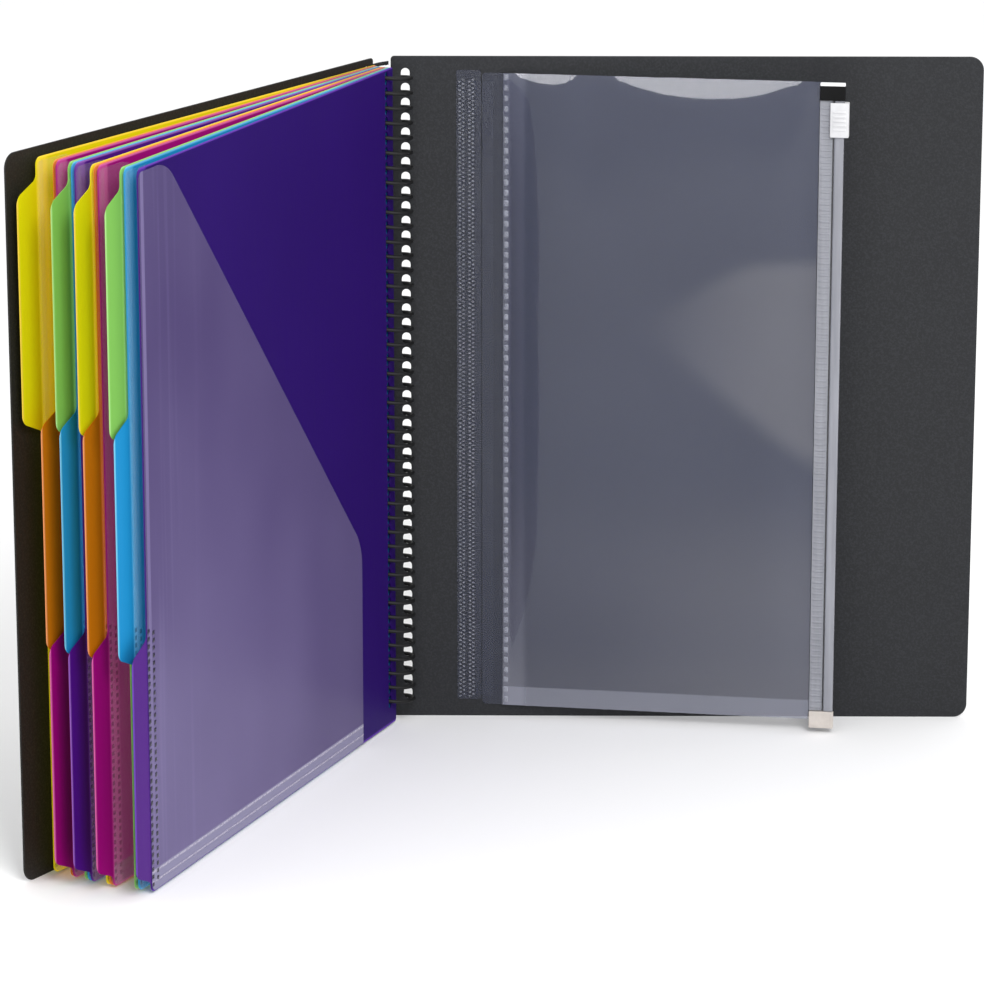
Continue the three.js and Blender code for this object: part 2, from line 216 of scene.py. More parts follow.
def addPanel(name, left, right, foot, top, level=0.0):
    bpy.ops.object.select_all(action="DESELECT")
    middle = Vector(((left + right) / 2, level, (foot + top) / 2)) * mm
    bpy.ops.mesh.primitive_plane_add(size=1, location=middle, rotation=(math.pi / 2, 0, 0))
    panel = bpy.context.object
    panel.name = name
    panel.scale = ((right - left) * mm, (top - foot) * mm, 1)
    bpy.ops.object.transform_apply(location=True, rotation=True, scale=True)
    return panel


def addBlock(name, left, right, near, far, foot, top):
    bpy.ops.object.select_all(action="DESELECT")
    middle = Vector(((left + right) / 2, (near + far) / 2, (foot + top) / 2)) * mm
    bpy.ops.mesh.primitive_cube_add(size=1, location=middle)
    block = bpy.context.object
    block.name = name
    block.scale = Vector((right - left, far - near, top - foot)) * mm
    bpy.ops.object.transform_apply(location=True, rotation=True, scale=True)
    return block


def applied(piece, kind, **settings):
    activate(piece)
    modifier = piece.modifiers.new(kind, kind)
    for name, value in settings.items():
        setattr(modifier, name, value)
    bpy.ops.object.modifier_apply(modifier=modifier.name)


def thicken(piece, thickness):
    applied(piece, "SOLIDIFY", thickness=thickness * mm, offset=0)


def repeat(piece, count, step):
    applied(
        piece,
        "ARRAY",
        count=count,
        use_relative_offset=False,
        use_constant_offset=True,
        constant_offset_displace=Vector(step) * mm,
    )


def easeEdges(piece, width, steps=2):
    applied(piece, "BEVEL", width=width * mm, segments=steps, angle_limit=math.radians(40))


def joinTo(piece, *others):
    activate(piece)
    for other in others:
        other.select_set(True)
    bpy.ops.object.join()


def keepFlat(piece, left=0.0):  # remembers the flat sizes, before the piece is turned to its place
    layer = piece.data.attributes.new("flat", "FLOAT_VECTOR", "POINT")
    for vertex, value in zip(piece.data.vertices, layer.data):
        value.vector = vertex.co / mm - Vector((left, 0, 0))


def turnTo(piece, turn, spot):
    activate(piece)
    piece.rotation_euler = (0, 0, -math.radians(turn))
    piece.location = spot
    bpy.ops.object.transform_apply(location=True, rotation=True, scale=True)


def wear(piece, *materials):
    piece.data.materials.clear()
    for material in materials:
        piece.data.materials.append(material)


def settle(piece, body, node, smooth=35):
    activate(piece)
    bpy.ops.object.shade_smooth_by_angle(angle=math.radians(smooth))
    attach(piece, body)
    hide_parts(node)


# The coil's axis stands behind the fold, and every sheet is laid out flat from it
coilSizes = {
    "axis": Vector((-57.056, 114.067, 0)) * mm,
    "sheetRadius": 9.979,  # where the sheets' holes lie
    "radius": 9.7,
    "wire": 1.7,
    "pitch": 6.5,
    "turns": 44,
    "steps": 36,
    "sides": 10,
    "crimp": 0.4,
    "crimpBend": 1.2,
    "crimpSteps": 6,
    "smoothAngle": 60,
    "firstHole": 9.25,
    "coverSlot": 4.6,
    "leafSlot": 4.4,
    "lastSlot": 2.6,  # in the leaf that faces the viewer
    "backHole": (3.9, 5.0),
    "backReach": 7.0,
    "sag": 1.5,  # how low the coil hangs in the back cover's holes
    "sheetTurn": 190,  # degrees that a sheet can turn
    "slotPlay": 0.7,
    "coverCrossing": (6.95, 6.6),  # where the wire passes the back cover, from the axis
    "startTurn": 45,  # the wire starts behind the spine
    "cutterSides": 16,
    "cutterDepth": 4,
}
coverSlant = math.degrees(math.asin(coilSizes["coverCrossing"][0] / math.hypot(*coilSizes["coverCrossing"])))


def holeReach(offset):
    return math.sqrt(coilSizes["sheetRadius"] ** 2 - offset ** 2)


def wireReach(offset):
    return math.sqrt(coilSizes["radius"] ** 2 - offset ** 2)


def slotFoot(offset):
    slant = math.degrees(math.asin(offset / coilSizes["sheetRadius"]))
    return coilSizes["firstHole"] + coilSizes["pitch"] * (coilSizes["sheetTurn"] / 2 - slant + coverSlant) / 360


def punch(piece, reach, level, foot, width, height):  # the row of holes for the coil
    bpy.ops.object.select_all(action="DESELECT")
    bpy.ops.mesh.primitive_cylinder_add(
        vertices=coilSizes["cutterSides"],
        radius=width / 2 * mm,
        depth=coilSizes["cutterDepth"] * mm,
        location=Vector((reach, level, foot)) * mm,
        rotation=(math.pi / 2, 0, 0),
    )
    cutter = bpy.context.object
    bpy.ops.object.transform_apply(location=True, rotation=True, scale=True)
    startEdit(cutter)
    pick(cutter, "verts", lambda at, item: at.z > foot + slack)
    move(0, 0, (height - width) / 2)
    pick(cutter, "verts", lambda at, item: at.z < foot - slack)
    move(0, 0, (width - height) / 2)
    endEdit()
    repeat(cutter, coilSizes["turns"], (0, 0, coilSizes["pitch"]))
    applied(piece, "BOOLEAN", operation="DIFFERENCE", object=cutter, solver="EXACT")
    bpy.data.objects.remove(cutter)


def slotHeight():
    return coilSizes["wire"] + coilSizes["pitch"] * coilSizes["sheetTurn"] / 360 + coilSizes["slotPlay"]


def coilPaint():
    paint = Paint("black coil plastic")
    scuff = paint.noise(paint.spot(), 420, 3, 0.6)
    return paint.finish(
        Base_Color=paint.mix(scuff, tint(8, 8, 9), tint(18, 18, 20)),
        Roughness=0.5 + scuff * 0.16,
        Specular_IOR_Level=0.3,
    )


def makeCoil():
    sizes = coilSizes
    bpy.ops.object.select_all(action="DESELECT")
    bpy.ops.mesh.primitive_circle_add(
        vertices=sizes["sides"],
        radius=sizes["wire"] / 2 * mm,
        location=(sizes["radius"] * mm, 0, 0),
        rotation=(math.pi / 2, 0, 0),
    )
    coil = bpy.context.object
    coil.name = "coil_wire"
    bpy.ops.object.transform_apply(location=True, rotation=True, scale=True)
    applied(
        coil,
        "SCREW",
        axis="Z",
        angle=-2 * math.pi,
        screw_offset=sizes["pitch"] * mm,
        iterations=sizes["turns"],
        steps=sizes["steps"],
        render_steps=sizes["steps"],
    )
    top = sizes["pitch"] * sizes["turns"]
    bend = sizes["crimpBend"]
    startEdit(coil)
    for height, way in ((0, 1), (top, -1)):  # both ends turn in towards the axis
        pick(
            coil,
            "edges",
            lambda at, item: abs(at.z - height) < sizes["wire"] / 2 + closeBy
            and item.is_boundary
            and abs(at.y) < closeBy,
        )
        bpy.ops.mesh.spin(
            steps=sizes["crimpSteps"],
            angle=way * math.pi / 2,
            center=Vector((sizes["radius"] - bend, 0, height)) * mm,
            axis=(0, 0, 1),
        )
        extrude(-sizes["crimp"], 0, 0)
        bpy.ops.mesh.edge_face_add()
    bpy.ops.mesh.select_all(action="SELECT")
    bpy.ops.mesh.remove_doubles(threshold=slack * mm)
    bpy.ops.mesh.normals_make_consistent(inside=False)
    endEdit()
    start = -coverSlant - sizes["startTurn"]
    rise = sizes["firstHole"] + sizes["pitch"] * (start + coverSlant) / 360
    turnTo(coil, start, sizes["axis"] + Vector((0, 0, rise * mm)))
    wear(coil, coilPaint())
    settle(coil, "binding_coil", "binding_coil", sizes["smoothAngle"])
    print("coil made:", len(coil.data.polygons), "faces")


coverSizes = {
    "backLeft": 0.7,
    "frontLeft": 2.0,
    "right": 256.1,
    "height": 298,
    "thickness": 0.9,
    "offset": 6.95,
    "corner": 6,
    "cornerSteps": 10,
    "spineCorner": 1.5,
    "edgeEase": 0.22,
    "opening": 122,
    "smoothAngle": 18,  # a larger one shades the flat faces unevenly around the holes
}

coverLooks = {
    "back": {"name": "charcoal grained poly", "dark": tint(24, 25, 28), "light": tint(38, 40, 44), "shine": 0.3},
    "front": {"name": "black grained poly", "dark": tint(20, 19, 17), "light": tint(38, 36, 33), "shine": 0.25},
}


def coverPaint(name, dark, light, shine):
    paint = Paint(name)
    spot = paint.spot()
    grain = paint.noise(spot, 1150, 3, 0.65)
    cloud = paint.noise(spot, 14, 3, 0.55)
    speck = paint.ramp(grain, 0.42, 0.68)
    colour = paint.mix(speck * 0.55 + cloud * 0.35, dark, light)
    return paint.finish(
        Base_Color=colour,
        Roughness=0.62 - speck * 0.16,
        Specular_IOR_Level=shine,
        Normal=paint.bump(grain, 0.55, 0.12),
    )


def makeCover(name, left, offset):
    sizes = coverSizes
    cover = addPanel(name, left, sizes["right"], 0, sizes["height"], offset)
    startEdit(cover)
    for height in (0, sizes["height"]):
        roundCorner(cover, sizes["right"], height, sizes["corner"], sizes["cornerSteps"])
        roundCorner(cover, left, height, sizes["spineCorner"])
    endEdit()
    thicken(cover, sizes["thickness"])
    return cover


def makeCovers():
    sizes = coverSizes
    back = makeCover("back_cover_sheet", sizes["backLeft"], sizes["offset"])
    hole = coilSizes["firstHole"] + coilSizes["sag"]
    punch(back, coilSizes["backReach"], sizes["offset"], hole, *coilSizes["backHole"])
    front = makeCover("front_cover_sheet", sizes["frontLeft"], -sizes["offset"])
    slot = slotFoot(-sizes["offset"])
    punch(front, wireReach(sizes["offset"]), -sizes["offset"], slot, coilSizes["coverSlot"], slotHeight())
    for cover in (back, front):
        easeEdges(cover, sizes["edgeEase"])
    wear(back, coverPaint(**coverLooks["back"]))
    wear(front, coverPaint(**coverLooks["front"]))
    turnTo(back, 0, coilSizes["axis"])
    turnTo(front, sizes["opening"], coilSizes["axis"])
    settle(back, "back_cover", "back_cover", sizes["smoothAngle"])
    settle(front, "front_cover", "front_cover", sizes["smoothAngle"])
    print("covers made")


leafSizes = {
    "foot": 1,
    "top": 295,
    "width": 241.3,
    "thickness": 0.3,
    "firstOffset": -5.9,
    "offsetStep": 0.8,
    "spineMargin": 7,
    "corner": 3,
    "fan": [0.8, 1.9, 0.2, 1.2, 0.2, 0.2, 1.5, 0.2, 0.2, 2.1, 0.2, 1.1],  # degrees between leaves
    "colours": "yellow orange magenta green blue purple yellow orange magenta green blue violet".split(),
    "tabFoot": 11,
    "tabLength": 90,
    "tabReach": 12.5,
    "tabShoulder": 5.5,
    "tabCorner": 3,
    "neckCorner": 2,
    # strength of the painted glow that stands in for light through the sheet
    "paintedThroughGlow": 0.38,
    "lightStart": (30, 60),  # how far from the spine the painted glow starts
    "topRim": 0.9,  # how deep the painted highlight along the cut edges reaches
    "footRim": 1.2,
    "tabRim": 1.1,
    "rimCore": 0.3,
    "glowBand": (-6, -1.2, 2.5),  # painted glow near the free edge: start, end and softness, from the free edge
    "glow": 0.45,
    "tabBlend": 1,
}

leafTints = {
    "yellow": {
        "deep": tint(158, 148, 4), "main": tint(192, 184, 10), "tab": tint(204, 196, 10), "pale": tint(228, 194, 72),
    },
    "orange": {
        "deep": tint(142, 74, 4), "main": tint(178, 99, 8), "tab": tint(184, 102, 8), "pale": tint(228, 146, 96),
    },
    "magenta": {
        "deep": tint(104, 0, 78), "main": tint(136, 0, 100), "tab": tint(142, 0, 106), "pale": tint(206, 96, 156),
    },
    "green": {
        "deep": tint(82, 134, 54), "main": tint(110, 166, 74), "tab": tint(116, 174, 80), "pale": tint(158, 206, 128),
    },
    "blue": {
        "deep": tint(14, 92, 138), "main": tint(24, 120, 172), "tab": tint(28, 130, 184), "pale": tint(112, 186, 214),
    },
    "purple": {
        "deep": tint(44, 4, 84), "main": tint(62, 8, 112), "tab": tint(66, 8, 120), "pale": tint(140, 92, 178),
    },
    "violet": {
        "deep": tint(32, 10, 80), "main": tint(42, 16, 98), "tab": tint(76, 34, 120), "pale": tint(102, 60, 168),
    },
}


def leafPaint(colour):
    sizes = leafSizes
    shade = leafTints[colour]
    paint = Paint(colour + " tinted poly")
    flat = paint.flat()
    across = paint.part(flat, "X")
    height = paint.part(flat, "Z")
    cloud = paint.noise(paint.spot(), 11, 2)
    brush = paint.noise(paint.stretch(flat, (0.9, 0.9, 0.03)), 1, 3, 0.6)
    core = sizes["rimCore"]
    # the cut edges are painted paler: a painted highlight along them
    topRim = paint.ramp(height, sizes["top"] - sizes["topRim"], sizes["top"] - core)
    footRim = paint.ramp(height, sizes["foot"] + sizes["footRim"], sizes["foot"] + core)
    tabRim = paint.ramp(across, sizes["tabReach"] - sizes["tabRim"], sizes["tabReach"] - core)
    # the sheet is painted paler near its free edge: a painted glow for light through the sheet
    glow = paint.band(across, *sizes["glowBand"]) * sizes["glow"]
    sheet = paint.mix(cloud * 0.6 + brush * 0.4, shade["deep"], shade["main"])
    blend = sizes["tabBlend"]
    onTab = paint.ramp(across, -blend, blend)
    start, end = sizes["lightStart"]
    beyondFold = paint.ramp(across, start - sizes["width"], end - sizes["width"]) * paint.ramp(across, blend, -blend)
    body = paint.mix(onTab, paint.mix(glow, sheet, shade["pale"]), shade["tab"])
    return paint.finish(
        Base_Color=paint.mix((topRim | footRim | tabRim) * 0.85, body, shade["pale"]),
        Roughness=0.4 + brush * 0.14,
        Specular_IOR_Level=0.05,
        Emission_Color=paint.mix(beyondFold, (0, 0, 0, 1), shade["tab"]),  # painted glow, standing in for light that comes through the sheet
        Emission_Strength=0.0 if colour == "violet" else sizes["paintedThroughGlow"],
    )


pocketSizes = {
    "film": 0.15,
    "level": 0.345,  # middle of the film, above the middle of its leaf
    "foot": 1.4,
    "top": 293.5,
    "inset": 36,
    "edge": 0.4,
    "mouthWidth": 24,
    "mouthHeight": 90,
    "mouthCorner": 8,
    "mouthSteps": 8,
    "corner": 3,
    "footBand": 8.6,
    "beads": [(3.4, 4.1), (7.4, 8.4)],  # raised weld lines above the foot
    "beadHeight": 0.09,
    "stitchTop": 112,
    "stitchPitch": 3.1,
    "stitchRows": [1.0, 5.2],
    "stitchSize": (1.8, 0.08, 1.8),
    "stitchStart": 2,
    "stitchTaper": (0.8, 1, 0.85),
    "bandSoft": 0.5,
    "edgeBand": (-4, -2, 0.8),  # start, end and softness, from the leaf's edge
    "streakSpan": (-62, -8),
    "sheenHeight": (230, 10),
    "sheenSpan": (-190, -30),
    "sheenSide": 0.7,  # how much of the painted sheen fades towards the spine
    "lightShares": (0.4, 0.3, 0.6),  # of haze, painted reflection streaks and painted sheen
}

pocketLooks = {
    "far": {
        "thin": tint(186, 180, 188), "pale": tint(186, 180, 188), "weld": tint(196, 190, 200),
        "veil": 0.04, "gain": 0.06, "milk": 0.08, "shine": 0.5, "coat": 0.3,
    },
    "near": {
        "thin": tint(77, 64, 110), "pale": tint(123, 112, 155), "weld": tint(132, 128, 156),
        "veil": 0.7, "gain": 0.05, "milk": 0.2, "shine": 0.08, "coat": 0.06,
    },
}


def pocketPaint(name, looks):
    sizes = pocketSizes
    paint = Paint(name)
    flat = paint.flat()
    across = paint.part(flat, "X")
    height = paint.part(flat, "Z")
    streak = paint.noise(paint.stretch(flat, (0.16, 0.16, 0.004)), 1, 2, 0.55)
    haze = paint.noise(paint.stretch(flat, (0.02, 0.02, 0.012)), 1, 1)
    bandTop = sizes["foot"] + sizes["footBand"]
    footBand = paint.ramp(height, bandTop + sizes["bandSoft"], bandTop)
    edgeBand = paint.band(across, *sizes["edgeBand"])
    # streaks and a sheen low down are painted paler: painted reflections on the film
    streaks = paint.ramp(streak, 0.5, 0.72) * paint.ramp(across, *sizes["streakSpan"])
    side = sizes["sheenSide"]
    sheen = paint.ramp(height, *sizes["sheenHeight"]) * (paint.ramp(across, *sizes["sheenSpan"]) * side + (1 - side))
    hazeShare, streakShare, sheenShare = sizes["lightShares"]
    light = haze * hazeShare + streaks * streakShare + sheen * sheenShare | edgeBand
    return paint.finish(
        Base_Color=paint.mix(footBand, paint.mix(light, looks["thin"], looks["pale"]), looks["weld"]),
        Roughness=0.26 + haze * 0.1,
        Alpha=looks["veil"] + light * looks["gain"] + footBand * looks["milk"],
        Specular_IOR_Level=looks["shine"],
        Coat_Weight=looks["coat"],
        Coat_Roughness=0.22,
    )


def weldPaint(name, dark, light, veil):
    paint = Paint(name)
    grain = paint.noise(paint.spot(), 700, 2)
    return paint.finish(
        Base_Color=paint.mix(grain, dark, light),
        Roughness=0.2 + grain * 0.15,
        Alpha=veil + grain * 0.2,
    )


def leafEdge(offset):
    return holeReach(offset) - leafSizes["spineMargin"] + leafSizes["width"]


def makeLeaf(number, offset):
    sizes = leafSizes
    edge = leafEdge(offset)
    spine = edge - sizes["width"]
    outer = edge + sizes["tabReach"]
    low = sizes["tabFoot"] + sizes["tabLength"] * (2 - (number - 1) % 3)
    high = low + sizes["tabLength"]
    shoulder = sizes["tabShoulder"]
    leaf = addPanel(f"leaf_{number:02d}", spine, edge, sizes["foot"], sizes["top"], offset)
    startEdit(leaf)
    cutAt((edge, offset, low - shoulder), (0, 0, 1))
    cutAt((edge, offset, high + shoulder), (0, 0, 1))
    pick(leaf, "edges", lambda at, item: at.x > edge - slack and low < at.z < high)
    extrude(sizes["tabReach"], 0, 0)
    for place, shift in ((low - shoulder, shoulder), (high + shoulder, -shoulder)):
        pick(leaf, "verts", lambda at, item: at.x > outer - slack and abs(at.z - place) < slack)
        move(0, 0, shift)
    bpy.ops.mesh.select_all(action="SELECT")
    bpy.ops.mesh.dissolve_limited()
    for height in (low, high):
        roundCorner(leaf, outer, height, sizes["tabCorner"])
    for height in (low - shoulder, high + shoulder):
        roundCorner(leaf, edge, height, sizes["neckCorner"])
    for height in (sizes["foot"], sizes["top"]):
        roundCorner(leaf, edge, height, sizes["corner"])
        roundCorner(leaf, spine, height, coverSizes["spineCorner"])
    endEdit()
    thicken(leaf, sizes["thickness"])
    slot = coilSizes["lastSlot" if number == len(sizes["fan"]) else "leafSlot"]
    punch(leaf, wireReach(offset), offset, slotFoot(offset), slot, slotHeight())
    keepFlat(leaf, edge)
    return leaf


def makeStitches(edge, level):
    sizes = pocketSizes
    width, depth, height = sizes["stitchSize"]
    pitch = sizes["stitchPitch"]
    rows = []
    for row, inset in enumerate(sizes["stitchRows"]):
        low = sizes["foot"] + sizes["stitchStart"] + pitch * row / 2
        middle = edge - inset
        stitch = addBlock(
            f"stitch_row_{row}", middle - width / 2, middle + width / 2, level, level + depth, low, low + height
        )
        startEdit(stitch)
        pick(stitch, "faces", lambda at, item: item.normal.y > 0.9)
        bpy.ops.transform.resize(value=sizes["stitchTaper"])
        endEdit()
        repeat(stitch, int((sizes["stitchTop"] - low) / pitch), (0, 0, pitch))
        rows.append(stitch)
    joinTo(rows[0], rows[1])
    return rows[0]


def makePocket(number, offset, film, bead, marks):
    sizes = pocketSizes
    leaf = leafEdge(offset)
    edge = leaf - sizes["edge"]
    inner = leaf - leafSizes["width"] + sizes["inset"]
    foot, top = sizes["foot"], sizes["top"]
    level = offset + sizes["level"]
    mouth = edge - sizes["mouthWidth"]
    slash = Vector((mouth - inner, 0, top - foot - sizes["mouthHeight"]))
    pocket = addPanel(f"leaf_pocket_{number:02d}", inner, edge, foot, top, level)
    startEdit(pocket)
    cutAt((mouth, level, top), (-slash.z, 0, slash.x), clearOuter=True)
    for low, high in sizes["beads"]:
        cutAt((edge, level, foot + low), (0, 0, 1))
        cutAt((edge, level, foot + high), (0, 0, 1))
        pick(pocket, "faces", lambda at, item: foot + low < at.z < foot + high)
        extrude(0, sizes["beadHeight"], 0)
    roundCorner(pocket, mouth, top, sizes["mouthCorner"], sizes["mouthSteps"])
    roundCorner(pocket, inner, foot + sizes["mouthHeight"], sizes["mouthCorner"], sizes["mouthSteps"])
    roundCorner(pocket, edge, top, sizes["corner"])
    roundCorner(pocket, edge, foot, sizes["corner"])
    endEdit()
    thicken(pocket, sizes["film"])
    wear(pocket, film, bead)
    for face in pocket.data.polygons:
        rise = face.center.z / mm - foot
        face.material_index = int(any(low < rise < high for low, high in sizes["beads"]))
    stitches = makeStitches(edge, level + sizes["film"] / 2)
    wear(stitches, marks)
    joinTo(pocket, stitches)
    keepFlat(pocket, leaf)
    return pocket


def makeLeaves():
    sizes = leafSizes
    film = pocketPaint("clear pocket film", pocketLooks["far"])
    nearFilm = pocketPaint("clear near pocket film", pocketLooks["near"])
    bead = weldPaint("clear pocket weld", tint(176, 170, 186), tint(206, 200, 214), 0.06)
    nearBead = weldPaint("milky near pocket weld", tint(176, 170, 196), tint(206, 200, 222), 0.45)
    marks = weldPaint("pressed weld marks", tint(40, 30, 50), tint(60, 46, 70), 0.05)
    nearMarks = weldPaint("pressed near weld marks", tint(12, 4, 34), tint(26, 14, 54), 0.8)
    paints = {colour: leafPaint(colour) for colour in leafTints}
    turn = coverSizes["opening"]
    for index, gap in enumerate(sizes["fan"]):
        number = index + 1
        turn -= gap
        offset = sizes["firstOffset"] + sizes["offsetStep"] * index
        colour = sizes["colours"][index]
        body = f"divider_{number:02d}"
        leaf = makeLeaf(number, offset)
        looks = (nearFilm, nearBead, nearMarks) if colour == "violet" else (film, bead, marks)
        pocket = makePocket(number, offset, *looks)
        wear(leaf, paints[colour])
        turnTo(leaf, turn, coilSizes["axis"])
        turnTo(pocket, turn, coilSizes["axis"])
        settle(leaf, body, body)
        settle(pocket, body, f"slash_pocket_{number:02d}")
    print("leaves made:", len(sizes["fan"]))


pouchSizes = {
    "hinge": Vector((39.9, 6.05, 0)) * mm,  # from the coil's axis
    "opening": 8,
    "foot": 6,
    "top": 291,
    "film": 0.2,
    "seamStart": 9.4,
    "crownStart": 12.4,
    "right": 146,
    "crownRight": 143,
    "crownFoot": 15,
    "crownTop": 288,
    "crown": 6.7,
    "nearLevel": 0.65,
    "farLevel": 1.3,
    "backRight": 151.9,
    "backLevel": 0.4,
    "columns": 90,
    "rows": 170,
    "lobes": [(28, 17.5, 7), (98, 47, 11)],  # where the film puffs out at its top: middle, half width, depth
    "lobeSlope": 0.24,
    "hemSlope": 0.19,
    "lobeEdge": 0.9,
    "pearlPitch": 4.6,
    "pearlSize": (2.2, 0.35, 2.9),
    "pearlPlace": 10.9,
    "pearlStart": 1.2,
    "pearls": 62,
    "pearlEase": 0.3,
    "left": 0.3,
    "corner": 1.5,
    "lobeFade": 90,
    "sidePower": 8,
    "ripple": 0.15,
    "rippleWaves": ((0.11, 0.035), (-0.02, 0.05)),  # radians in each mm, along and up
    "dotTaper": (0.55, 1, 0.6),
}
stripSizes = {
    "left": 29,
    "right": 39.6,
    "foot": 8,
    "top": 292,
    "level": 6.25,
    "thickness": 0.4,
    "stitchPitch": 1.85,
    "stitchColumns": [30.4, 31.9, 34.6, 36.1],
    "stitchSize": (1.1, 0.22, 0.75),
    "stitchStart": 1,
    "stitchEnd": 2,
    "corner": 1,
    "cornerSteps": 4,
}
hingeSizes = {
    "columns": 24,
    "rows": 8,
    "width": 8,
    "margin": 4,
    "place": (1, -0.1),  # from the hinge
    "film": 0.1,
    "bend": 1.2,
    "smoothAngle": 40,
}
filmSheen = {  # where the face film is painted paler, a painted reflection: heights, and places from the hinge
    "low": (125, 60),
    "lowSpan": (40, 120),
    "foot": (40, 15),
    "wedgeUnder": (0.78, 228, 244),  # slope, start and end
    "wedgeOver": (0.6, -148, -136),
    "wedgeTop": (217, 207),
    "wedgeSpan": (60, 130),
    "fold": (5, 4),  # width and softness
    "weldSoft": 0.7,
    "seamSoft": (0.6, 0.2),
    "sideSoft": 0.3,
    "jointSoft": 0.5,
    "lowShare": 0.3,
    "lowSide": 0.35,
    "footShare": 0.25,
    "wedgeShare": 0.9,
    "foldShare": 0.25,
    "weldVeil": 0.14,
}
# the milky tint is the colour of the painted reflections on the face film
filmTints = {"clear": tint(92, 97, 119), "milky": tint(138, 139, 151), "weld": tint(146, 148, 162)}


def swell(share, power=4):
    return 1 - (2 * min(max(share, 0), 1) - 1) ** power


def pouchLevel(along, height):  # how far the front film stands off, in mm
    sizes = pouchSizes
    seam, far = sizes["seamStart"], sizes["right"]
    base = sizes["nearLevel"] + (sizes["farLevel"] - sizes["nearLevel"]) * (along - seam) / (far - seam)
    start, width = sizes["crownStart"], sizes["crownRight"] - sizes["crownStart"]
    foot, tall = sizes["crownFoot"], sizes["crownTop"] - sizes["crownFoot"]
    across = (along - start) / width
    up = (height - foot) / tall
    held = swell(across, sizes["sidePower"]) * swell(up)
    puff = 0
    drop = sizes["top"] - height
    hem = sizes["top"] - sizes["crownTop"]
    for middle, half, depth in sizes["lobes"]:
        reach = depth * max(0, 1 - ((along - middle) / half) ** 2)
        if reach > 0:
            fade = max(0, 1 - max(0, drop - reach) / sizes["lobeFade"]) ** 2
            soft = sizes["lobeEdge"]
            rise = math.log((1 + math.exp(-reach / soft)) / (math.exp(-drop / soft) + math.exp(-reach / soft)))
            puff += (sizes["lobeSlope"] * soft * rise + sizes["hemSlope"] * min(drop, hem, reach)) * fade
    waves = [math.sin(along * wide + height * high) for wide, high in sizes["rippleWaves"]]
    ripple = sizes["ripple"] * waves[0] * waves[1]
    return base + held * (sizes["crown"] + ripple) + puff


def filmPaint(name, veil, footWeld=0.0, sideWeld=0.0, sheen=0.0, joint=0.0):
    sizes = pouchSizes
    paint = Paint(name)
    flat = paint.flat()
    across = paint.part(flat, "X")
    height = paint.part(flat, "Z")
    haze = paint.noise(paint.stretch(flat, (0.011, 0.011, 0.008)), 1, 2)
    crown, seam = sizes["crownStart"], sizes["seamStart"]
    softStart, softEnd = filmSheen["seamSoft"]
    pressed = paint.ramp(height, sizes["crownFoot"], sizes["crownFoot"] - filmSheen["weldSoft"]) * footWeld
    pressed = pressed * paint.ramp(across, seam - softStart, seam - softEnd)
    width, soft = filmSheen["fold"]
    fold = paint.band(across, crown, crown + width, soft)
    soft = filmSheen["sideSoft"]
    pressed = pressed | paint.ramp(across, crown + soft, crown - soft) * sideWeld
    side = paint.ramp(across, *filmSheen["lowSpan"]) * filmSheen["lowSide"]
    low = paint.ramp(height, *filmSheen["low"]) * (side + filmSheen["lowShare"])
    low = low + paint.ramp(height, *filmSheen["foot"]) * filmSheen["footShare"]
    slope, begin, full = filmSheen["wedgeUnder"]
    wedge = paint.ramp(height + across * slope, begin, full)
    slope, begin, full = filmSheen["wedgeOver"]
    wedge = wedge * paint.ramp(across * slope - height, begin, full)
    wedge = wedge * paint.ramp(height, *filmSheen["wedgeTop"]) * paint.ramp(across, *filmSheen["wedgeSpan"])
    # paler low down, in a wedge and along the fold: painted reflections on the face film
    milk = (low + wedge * filmSheen["wedgeShare"] + fold * filmSheen["foldShare"]) * sheen
    joined = paint.ramp(across, seam, seam - filmSheen["jointSoft"]) * joint
    clear = paint.mix(milk, filmTints["clear"], filmTints["milky"])
    return paint.finish(
        Base_Color=paint.mix(pressed, clear, filmTints["weld"]),
        Roughness=0.08 + haze * 0.06,
        Alpha=veil + (haze + fold) * (veil / 2) + pressed * filmSheen["weldVeil"] + joined,
        Specular_IOR_Level=0.28,
        Coat_Weight=0.57,
        Coat_IOR=1.6,
        Coat_Roughness=0.05,
    )


def makeDot(name, middle, level, size, low):  # a pressed weld dot, domed towards the front
    width, depth, height = size
    dot = addBlock(name, middle - width / 2, middle + width / 2, level - depth, level, low, low + height)
    startEdit(dot)
    pick(dot, "faces", lambda at, item: item.normal.y < -0.9)
    bpy.ops.transform.resize(value=pouchSizes["dotTaper"])
    endEdit()
    return dot


def makeStrip():
    sizes = stripSizes
    strip = addPanel("pouch_strip", sizes["left"], sizes["right"], sizes["foot"], sizes["top"], sizes["level"])
    startEdit(strip)
    for height in (sizes["foot"], sizes["top"]):
        for side in (sizes["left"], sizes["right"]):
            roundCorner(strip, side, height, sizes["corner"], sizes["cornerSteps"])
    endEdit()
    thicken(strip, sizes["thickness"])
    wear(strip, filmPaint("clear strip film", 0.08))
    face = sizes["level"] - sizes["thickness"] / 2
    pitch = sizes["stitchPitch"]
    count = int((sizes["top"] - sizes["foot"] - sizes["stitchStart"] - sizes["stitchEnd"]) / pitch)
    marks = weldPaint("milky strip weld", tint(130, 134, 146), tint(174, 177, 188), 0.22)
    for index, column in enumerate(sizes["stitchColumns"]):
        low = sizes["foot"] + sizes["stitchStart"] + pitch / 2 * (index % 2)
        dot = makeDot(f"strip_stitch_{index}", column, face, sizes["stitchSize"], low)
        repeat(dot, count, (0, 0, pitch))
        wear(dot, marks)
        joinTo(strip, dot)
    keepFlat(strip)
    turnTo(strip, 0, coilSizes["axis"])
    settle(strip, "back_cover", "pouch_weld_strip")
    print("pouch strip made")


def pouchSpot():
    return coilSizes["axis"] + pouchSizes["hinge"]


